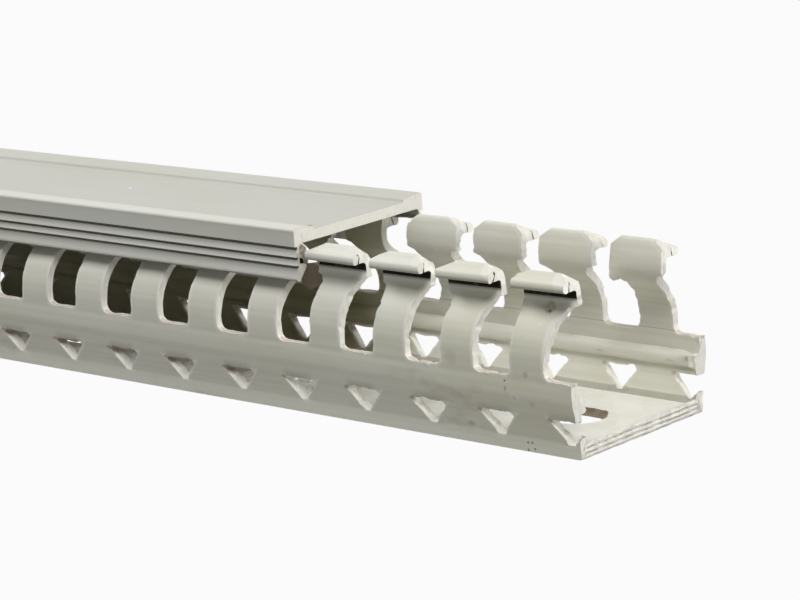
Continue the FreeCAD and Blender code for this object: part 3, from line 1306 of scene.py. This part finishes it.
    def bump(self, height: NodeSocket, strength: float, distance: float) -> NodeSocket:
        """Turns a height into a normal.

        Args:
            height: the height.
            strength: strength of the relief.
            distance: its depth in metres.

        Returns:
            The normal's socket.
        """
        made = self.node("ShaderNodeBump")
        for name, value in (("Strength", strength), ("Distance", distance), ("Height", height)):
            self.feed(made.inputs[name], value)
        return made.outputs[0]


def new_material(name: str) -> tuple[Material, Wiring, bpy.types.NodeInputs]:
    """Starts a material.

    Args:
        name: name of the material.

    Returns:
        The material, its wiring and the inputs of its shader.
    """
    material = bpy.data.materials.new(name)
    material.use_nodes = True
    shader = material.node_tree.nodes["Principled BSDF"]
    return material, Wiring(material.node_tree), shader.inputs


class PlasticGroups:
    """Node groups that the plastic's materials share."""

    def __init__(self, duct: DuctBase) -> None:
        """Builds the groups.

        Args:
            duct: duct whose pattern of openings they follow.
        """
        self.duct = duct
        self.openings = self.build_openings()
        self.streaks = self.build_streaks()
        self.spot = self.build_spot()

    @staticmethod
    def start(name: str, inputs: dict[str, object], outputs: tuple[str, ...]) -> tuple:
        """Starts a group with named sockets.

        Args:
            name: name of the group.
            inputs: starting values by name, a number or a triple, or None for coordinates.
            outputs: names of the value sockets that it puts out.

        Returns:
            The group, its wiring, what it is given and what it puts out.
        """
        tree = bpy.data.node_groups.new(name, "ShaderNodeTree")
        for label, value in inputs.items():
            kind = "NodeSocketFloat" if isinstance(value, float) else "NodeSocketVector"
            socket = tree.interface.new_socket(label, in_out="INPUT", socket_type=kind)
            if value is not None:
                socket.default_value = value
        for label in outputs:
            tree.interface.new_socket(label, in_out="OUTPUT", socket_type="NodeSocketFloat")
        wire = Wiring(tree)
        return (tree, wire, wire.node("NodeGroupInput").outputs,
                wire.node("NodeGroupOutput").inputs)

    def build_openings(self) -> NodeTree:
        """Distances in millimetres to the punched edges, and a point's place among them.

        Returns:
            The group.
        """
        tree, wire, given, result = self.start(
            "punched_openings", {"Place": None}, ("Slot", "Triangle", "Along", "Across", "Height"))
        punches = self.duct.punches
        along, across, height = (wire.math("MULTIPLY", part, PER_METRE)
                                 for part in wire.parts(given["Place"]))
        half = punches.pitch / 2
        along = wire.math("WRAP", wire.math("SUBTRACT", along, self.duct.slot_zero()), half, -half)
        aside = wire.math("ABSOLUTE", along)
        narrow = wire.ramp(height, punches.neck_top, punches.head_underside, punches.slot_half,
                           punches.gap_half, "LINEAR")
        wide = wire.ramp(height, punches.chamfer_start, punches.head_top, 0.0, punches.chamfer,
                         "LINEAR")
        past = wire.math("SUBTRACT", aside, wire.math("ADD", narrow, wide))
        below = wire.math("SUBTRACT", punches.slot_bottom, height)
        corner = punches.slot_corner
        past, below = (wire.math("MAXIMUM", wire.math("ADD", value, corner), 0.0)
                       for value in (past, below))
        reach = wire.hypot(past, below)
        flank = wire.math("MULTIPLY_ADD", height, -0.8828, wire.math("ADD", aside, 1.2814))
        over = wire.math("SUBTRACT", height, punches.triangle_top)
        under = wire.math("SUBTRACT", punches.triangle_bottom, height)
        wire.feed(result["Slot"], wire.math("SUBTRACT", reach, corner))
        wire.feed(result["Triangle"], wire.math("MAXIMUM", wire.times(flank, 0.75),
                                                wire.math("MAXIMUM", over, under)))
        for name, value in (("Along", along), ("Across", across), ("Height", height)):
            wire.feed(result[name], value)
        return tree

    def build_streaks(self) -> NodeTree:
        """Faint lines that the die draws along the profile, and a soft mottle over them.

        Returns:
            The group.
        """
        tree, wire, given, result = self.start("die_streaks", {"Place": None},
                                               ("Lines", "Mottle", "Grain"))
        place = given["Place"]
        wire.feed(result["Lines"], wire.noise(wire.stretched(place, (12.0, 1500.0, 1500.0)),
                                              detail=2.0))
        wire.feed(result["Mottle"], wire.noise(wire.stretched(place, (45.0, 110.0, 110.0)),
                                               detail=4.0, rough=0.6))
        wire.feed(result["Grain"], wire.noise(place, 2600.0, 2.0, 0.6))
        return tree

    def build_spot(self) -> NodeTree:
        """Mask of one mark at a place on the part, with a ragged border.

        Returns:
            The group.
        """
        tree, wire, given, result = self.start(
            "single_mark", {"Place": None, "Centre": (0.0, 0.0, 0.0), "Radius": 0.5,
                            "Stretch": (1.0, 1.0, 1.0)}, ("Mask",))
        away = wire.vector("SUBTRACT", given["Place"], given["Centre"]).outputs[0]
        shaped = wire.vector("DIVIDE", away, given["Stretch"]).outputs[0]
        reach = wire.times(wire.vector("LENGTH", shaped).outputs["Value"], PER_METRE)
        ragged = wire.math("MULTIPLY_ADD", wire.noise(given["Place"], 1800.0), 0.9, 0.55)
        share = wire.math("DIVIDE", wire.times(reach, ragged), given["Radius"])
        wire.feed(result["Mask"], wire.ramp(share, 1.1, 0.55))
        return tree


@dataclass(frozen=True)
class PvcFinish:
    """Light grey satin PVC as it leaves the die, a little dirty and lighter on its inside, with some
    light and shade painted in.
    """

    name: str
    colour: Triple = (0.64, 0.64, 0.55)
    inside: Triple = (0.775, 0.77, 0.695)
    covered_shade: Triple = (0.35, 0.33, 0.21)
    edge: Triple = (0.82, 0.80, 0.73)
    dust_and_light: Triple = (0.86, 0.85, 0.79)
    aged: Triple = (0.965, 0.955, 0.88)
    grime_and_shade: Triple = (0.03, 0.025, 0.015)
    dent_shade: Triple = (0.24, 0.23, 0.16)
    rust: Triple = (0.25, 0.16, 0.08)
    stain: Triple = (0.36, 0.29, 0.21)
    seam: Triple = (0.17, 0.15, 0.1)
    roughness: float = 0.44
    punched: bool = True
    marks: tuple[Mark, ...] = ()

    def build(self, groups: PlasticGroups) -> Material:
        """Makes the material's nodes.

        Args:
            groups: the shared node groups.

        Returns:
            The material.
        """
        material, wire, shader = new_material(self.name)
        place = wire.place()
        streaks = wire.group(groups.streaks, Place=place)
        inner = wire.layer("inner")
        # Painted light: the coves of the fingers take on the lighter inside colour.
        light = wire.math("MAXIMUM", inner, wire.times(wire.layer("cove_light"), 0.7))
        colour = wire.tint(light, self.colour, self.inside)
        along = wire.parts(place)[0]
        # Painted shade: inner faces turn dark and olive under the cover, past its open end.
        covered = wire.times(wire.ramp(along, 0.208, 0.182), inner)
        colour = wire.tint(covered, colour, self.covered_shade)
        # Pale upper edges of the cover: wear with a painted highlight.
        colour = wire.tint(wire.layer("pale"), colour, self.edge)
        patch = wire.noise(wire.stretched(place, (35.0, 70.0, 70.0)), detail=2.0)
        colour = wire.tint(wire.ramp(patch, 0.4, 0.66, 0.0, 0.5), colour, self.aged, "MULTIPLY")
        if self.punched:
            open_end = wire.ramp(along, 0.2, 0.24, 0.0, 0.6)
            colour = wire.tint(open_end, colour, self.aged, "MULTIPLY")
        spread = 0.04 if self.punched else 0.015
        mottle = wire.ramp(streaks["Mottle"], 0.3, 0.7, 0.965, 1.03)
        lines = wire.ramp(streaks["Lines"], 0.25, 0.75, 1 - spread, 1 + spread)
        colour = wire.shaded(colour, wire.times(mottle, lines))
        if self.punched:
            colour = self.wear(wire, wire.group(groups.openings, Place=place), place, colour, inner)
        # Painted shade with grime from the under layer: the groove under each head, and the cover's
        # grooves, reed tops and lower edge.
        colour = wire.tint(wire.ramp(wire.layer("under"), 0.05, 0.8, 0.0, 0.97), colour, self.grime_and_shade)
        wire.feed(shader["Base Color"], wire.stains(groups.spot, place, colour, self.marks))
        rough = wire.ramp(streaks["Mottle"], 0.25, 0.75, self.roughness - 0.07,
                          self.roughness + 0.09)
        wire.feed(shader["Roughness"], rough)
        height = wire.math("MULTIPLY_ADD", streaks["Lines"], 0.6, streaks["Grain"])
        wire.feed(shader["Normal"], wire.bump(height, 0.1, 0.00003))
        return material

    def wear(self, wire: Wiring, openings: bpy.types.NodeOutputs, place: NodeSocket,
             colour: NodeSocket, inner: NodeSocket) -> NodeSocket:
        """Adds what the punching and handling left, pale edges and brown stains, with painted shade
        over the triangles, a painted highlight on the rolled slot edges and painted light on the
        inner floor.

        Args:
            wire: the material's wiring.
            openings: where the point lies among the punched openings.
            place: object coordinates.
            colour: colour so far.
            inner: how far inside the duct a point lies.

        Returns:
            The new colour.
        """
        slot, along, height = (openings[name] for name in ("Slot", "Along", "Height"))
        across = wire.math("ABSOLUTE", openings["Across"])
        nearest = wire.math("MINIMUM", slot, openings["Triangle"])
        ragged = wire.noise(place, 900.0)
        width = wire.math("MULTIPLY_ADD", ragged, 0.7, 0.05)
        pale = wire.ramp(wire.math("DIVIDE", nearest, width), 0.2, 1.0, 0.75, 0.0)
        colour = wire.tint(pale, colour, self.edge)
        # Painted highlight: the rolled outer edges of the slots are lighter, as if catching light.
        roll_highlight = wire.times(wire.ramp(slot, 0.75, 0.1, 0.0, 0.4), wire.ramp(inner, 0.5, 0.1))
        colour = wire.tint(roll_highlight, colour, self.edge)
        outside = wire.ramp(across, 12.9, 13.2)
        foot = wire.times(wire.ramp(height, 2.3, 1.8, 0.0, 0.4), outside)
        colour = wire.tint(foot, colour, self.edge)
        # Painted shade: a soft dark band over each triangle on the outside, as the shade of a dent
        # that the mesh does not have.
        over = wire.times(wire.ramp(height, 5.3, 6.9, 1.0, 0.0), wire.ramp(height, 5.2, 5.4))
        beside = wire.ramp(wire.math("ABSOLUTE", wire.math("ADD", along, 0.3)), 1.8, 3.4, 1.0, 0.0)
        colour = wire.tint(wire.times(over, beside, outside, 0.42), colour, self.dent_shade)
        corner = wire.times(wire.math("ADD", along, 3.1), 0.62)
        rise = wire.math("SUBTRACT", height, 5.2)
        away = wire.math("ADD", wire.hypot(corner, rise), wire.times(ragged, 0.6))
        spot = wire.times(wire.ramp(away, 0.42, 0.78, 0.7, 0.0),
                          wire.ramp(inner, 0.2, 0.8, 1.0, 0.55))
        colour = wire.tint(spot, colour, self.rust)
        stain = wire.noise(wire.stretched(place, (60.0, 160.0, 160.0)), detail=4.0, rough=0.62)
        stain = wire.times(wire.ramp(stain, 0.56, 0.72, 0.0, 0.45), wire.ramp(height, 11.5, 7.0),
                           outside)
        colour = wire.tint(stain, colour, self.stain)
        # Dust on the inner floor, and painted light on its strip beside the near wall.
        dust_and_light = wire.ramp(wire.noise(place, 420.0, 4.0, 0.6), 0.35, 0.6, 0.35, 0.95)
        dust_and_light = wire.math("MAXIMUM", dust_and_light, wire.ramp(openings["Across"], -6.5, -10.5, 0.0, 0.95))
        dust_and_light = wire.times(dust_and_light, wire.times(wire.ramp(height, 2.6, 1.6), inner))
        colour = wire.tint(dust_and_light, colour, self.dust_and_light)
        within = wire.ramp(inner, 0.5, 0.9)
        seams = ((height, 11.12, 0.09, 0.4), (across, 12.17, 0.1, 0.45))
        for value, middle, reach, strength in seams:
            line = wire.ramp(wire.apart(value, middle), reach, reach * 0.4)
            line = wire.times(line, within, strength, wire.ramp(height, 12.5, 11.6))
            colour = wire.tint(line, colour, self.seam)
        return colour


@dataclass(frozen=True)
class CutFinish:
    """Where the plastic was punched or sawn: ivory, rough and torn, with painted shade on the
    covered triangles' roofs and in the saw marks.
    """

    name: str
    colour: Triple = (0.93, 0.91, 0.83)
    shadow: Triple = (0.55, 0.47, 0.38)
    bottom: Triple = (0.62, 0.52, 0.43)
    roof_shade: Triple = (0.2, 0.14, 0.08)
    groove: Triple = (0.36, 0.33, 0.27)
    relief: float = 0.5
    marks: tuple[Mark, ...] = ()

    def build(self, groups: PlasticGroups) -> Material:
        """Makes the material's nodes.

        Args:
            groups: the shared node groups.

        Returns:
            The material.
        """
        material, wire, shader = new_material(self.name)
        place = wire.place()
        torn = wire.noise(wire.stretched(place, (700.0, 1500.0, 420.0)), detail=4.0, rough=0.65)
        blot = wire.noise(place, 210.0, 3.0, 0.6)
        share = wire.times(wire.ramp(torn, 0.5, 0.72), wire.ramp(blot, 0.42, 0.66), 0.8)
        colour = wire.tint(share, self.colour, self.shadow)
        openings = wire.group(groups.openings, Place=place)
        height = openings["Height"]
        across = wire.math("ABSOLUTE", openings["Across"])
        bottom = wire.times(wire.ramp(wire.apart(height, 10.7), 0.5, 0.3),
                            wire.ramp(wire.apart(across, 14.0), 0.5, 0.3), 0.75)
        colour = wire.tint(bottom, colour, self.bottom)
        # Painted shade on the upper cut faces of the triangles under the cover.
        roof_shade = wire.times(wire.ramp(height, 3.9, 4.6), wire.ramp(height, 5.9, 5.5),
                          wire.ramp(wire.parts(place)[0], 0.1955, 0.1905), 0.8)
        colour = wire.tint(roof_shade, colour, self.roof_shade)
        # Painted shade in the troughs of the saw marks.
        colour = wire.tint(wire.times(wire.layer("groove"), 0.7), colour, self.groove)
        colour = wire.stains(groups.spot, place, colour, self.marks)
        fine = wire.ramp(torn, 0.3, 0.7, 1 - 0.24 * self.relief, 1 + 0.2 * self.relief)
        wire.feed(shader["Base Color"], wire.shaded(colour, fine))
        wire.feed(shader["Roughness"], wire.ramp(torn, 0.3, 0.7, 0.6, 0.85))
        wire.feed(shader["Normal"], wire.bump(torn, self.relief, 0.0002))
        return material


@dataclass(frozen=True)
class GrimeAndShadeFinish:
    """Black grime and painted shade that fill the groove under a head."""

    name: str
    colour: Triple = (0.022, 0.018, 0.011)
    worn: Triple = (0.09, 0.08, 0.055)
    roughness: float = 0.95
    specular: float = 0.08

    def build(self) -> Material:
        """Makes the material's nodes.

        Returns:
            The material.
        """
        material, wire, shader = new_material(self.name)
        patch = wire.ramp(wire.noise(wire.place(), 700.0, 3.0, 0.6), 0.5, 0.75)
        wire.feed(shader["Base Color"], wire.tint(patch, self.colour, self.worn))
        shader["Roughness"].default_value = self.roughness
        shader["Specular IOR Level"].default_value = self.specular
        return material


@dataclass(frozen=True)
class Lamp:
    """One soft area lamp, aimed at a point near the open end."""

    name: str
    place: Triple
    power: float
    size: float = 0.8
    aim: Triple = (0.15, 0.0, 0.01)

    def build(self) -> None:
        """Adds the lamp to the scene."""
        data = bpy.data.lights.new(self.name, "AREA")
        data.shape = "DISK"
        data.size = self.size
        data.energy = self.power
        lamp = link_new(self.name, data)
        lamp.location = self.place
        away = Vector(self.aim) - Vector(self.place)
        lamp.rotation_euler = away.to_track_quat("-Z", "Y").to_euler()


@dataclass
class Studio:
    """Plain pale floor, soft lamps and the camera of the photograph."""

    camera_place: Triple = (0.50479, -0.31212, 0.11647)
    camera_turn: Triple = (76.666, 4.416, 42.675)
    lens: float = 138.6
    lamps: tuple[Lamp, ...] = (
        Lamp("lamp_high_near_right", (0.75, -0.6, 1.3), 15.6),
        Lamp("lamp_near", (0.15, -1.5, 0.5), 1.4),
        Lamp("lamp_over_covered_end", (-0.8, 0.0, 1.3), 5.5),
        Lamp("lamp_over_open_end", (1.0, 0.0, 1.3), 1.9),
        Lamp("lamp_low_open_end", (1.7, 0.5, 0.3), 9.0),
    )
    ambient: float = 0.028
    floor_half: float = 6.0
    floor_grey: float = 0.34
    floor_white: float = 0.95

    def camera(self) -> None:
        """Sets up the camera as fitted to the photograph."""
        data = bpy.data.cameras.new("camera")
        data.lens = self.lens
        data.sensor_width = 36.0
        data.clip_start = 0.01
        data.clip_end = 50.0
        camera = link_new("camera", data)
        camera.location = self.camera_place
        camera.rotation_euler = Euler([math.radians(turn) for turn in self.camera_turn], "XYZ")
        bpy.context.scene.camera = camera

    def floor(self) -> None:
        """Lays a large pale floor."""
        mesh = bmesh.new()
        bmesh.ops.create_grid(mesh, x_segments=1, y_segments=1, size=self.floor_half)
        floor = link_new("studio_floor", to_data(mesh, "studio_floor"))
        floor.data.materials.append(self.floor_material())

    def floor_material(self) -> Material:
        """Pale matt floor that is seen as white and keeps a light shadow.

        Returns:
            The material.
        """
        material, wire, shader = new_material("studio_floor")
        nodes, links = material.node_tree.nodes, material.node_tree.links
        shader["Base Color"].default_value = (*[self.floor_grey] * 3, 1.0)
        shader["Roughness"].default_value = 0.9
        shader["Specular IOR Level"].default_value = 0.1
        glow = wire.node("ShaderNodeEmission")
        glow.inputs["Color"].default_value = (1.0, 1.0, 1.0, 1.0)
        mix = wire.node("ShaderNodeMixShader")
        links.new(wire.times(self.seen_rays(wire), self.floor_white), mix.inputs[0])
        links.new(nodes["Principled BSDF"].outputs[0], mix.inputs[1])
        links.new(glow.outputs[0], mix.inputs[2])
        links.new(mix.outputs[0], nodes["Material Output"].inputs["Surface"])
        return material

    @staticmethod
    def seen_rays(wire: Wiring) -> NodeSocket:
        """Tells where the floor or backdrop is seen, straight or in a reflection.

        Args:
            wire: wiring of its material or world.

        Returns:
            Socket that is 1 there and 0 elsewhere.
        """
        rays = wire.node("ShaderNodeLightPath").outputs
        seen = wire.math("ADD", rays["Is Camera Ray"], rays["Is Glossy Ray"])
        return wire.math("ADD", seen, rays["Is Transmission Ray"], clamp=True)

    def world(self) -> None:
        """Fills the surroundings with even pale light."""
        world = bpy.data.worlds.new("studio")
        bpy.context.scene.world = world
        world.use_nodes = True
        back = world.node_tree.nodes["Background"].inputs
        back["Color"].default_value = (1.0, 1.0, 1.0, 1.0)
        wire = Wiring(world.node_tree)
        wire.feed(back["Strength"], wire.ramp(self.seen_rays(wire), 0.0, 1.0, self.ambient, 1.0,
                                              "LINEAR"))

    def build(self) -> None:
        """Sets up the whole studio."""
        self.camera()
        self.floor()
        self.world()
        for lamp in self.lamps:
            lamp.build()
        bpy.context.scene.view_settings.view_transform = "Standard"


DARK = (0.09, 0.07, 0.05)
BROWN = (0.24, 0.17, 0.1)
TAN = (0.36, 0.3, 0.21)
PALE = (0.8, 0.79, 0.72)
PLASTIC = (0.56, 0.56, 0.48)

DUCT_MARKS = (
    Mark((0.23834, -0.01454, 0.00995), 0.2, DARK),
    Mark((0.23836, -0.01455, 0.00885), 0.34, BROWN, 0.5, (0.7, 1.0, 1.5)),
    Mark((0.23984, -0.01448, 0.00772), 0.85, PALE, 0.4),
    Mark((0.23984, -0.01448, 0.00772), 0.55, PLASTIC, 0.9),
    Mark((0.24281, -0.01437, 0.00715), 0.5, TAN, 0.3),
    Mark((0.24069, -0.01326, 0.00127), 0.2, DARK),
    Mark((0.24141, -0.01326, 0.00131), 0.2, DARK),
    Mark((0.24067, -0.01325, 0.00023), 0.2, DARK),
    Mark((0.24186, -0.01325, 0.00051), 0.2, DARK),
    Mark((0.23087, -0.01343, 0.00274), 0.5, BROWN, 0.4, (1.5, 1.0, 0.8)),
    Mark((0.22882, -0.01463, 0.01211), 1.2, TAN, 0.22),
    Mark((0.24212, -0.01458, 0.01119), 0.5, BROWN, 0.35),
    Mark((0.244, -0.0109, 0.0199), 1.05, BROWN, 0.55),
    Mark((0.244, -0.0109, 0.0199), 0.68, (0.6, 0.56, 0.46), 0.85),
    Mark((0.2441, -0.011, 0.0194), 0.34, DARK),
    Mark((0.24366, -0.0126, 0.0179), 0.5, PALE, 0.5, (0.9, 0.8, 0.9)),
    Mark((0.2334, 0.008, 0.0013), 4.4, PALE, 0.8, (0.05, 1.0, 0.3)),
)
CUT_MARKS = (
    Mark((0.2365, 0.004, 0.00065), 6.5, (0.3, 0.22, 0.13), 0.85, (1.1, 0.3, 0.3)),
    Mark((0.1988, -0.0094, 0.0192), 5.5, (0.17, 0.12, 0.07), 0.95, (1.0, 0.2, 1.0)),
)
COVER_MARKS = (
    Mark((0.19723, -0.00831, 0.0263), 0.7, BROWN, 0.6, (1.0, 1.4, 1.0)),
    Mark((0.14941, 0.00082, 0.0263), 0.4, (0.95, 0.95, 0.92), 0.9),
)


def main() -> None:
    """Builds the pieces, the studio and the camera."""
    logging.basicConfig(level=logging.INFO, format="%(message)s")
    duct = DuctBase()
    groups = PlasticGroups(duct)
    pvc = PvcFinish("duct_pvc_extruded", marks=DUCT_MARKS).build(groups)
    cut = CutFinish("duct_pvc_cut", marks=CUT_MARKS).build(groups)
    cover_pvc = PvcFinish("cover_pvc_extruded", colour=(0.59, 0.59, 0.535), punched=False,
                          marks=COVER_MARKS).build(groups)
    cover_cut = CutFinish("cover_pvc_cut", relief=0.12).build(groups)
    grime_and_shade = GrimeAndShadeFinish("duct_groove_grime_and_shade").build()
    duct.make([pvc, cut, grime_and_shade])
    Cover().make([cover_pvc, cover_cut])
    Studio().build()


if __name__ == "__main__":
    main()
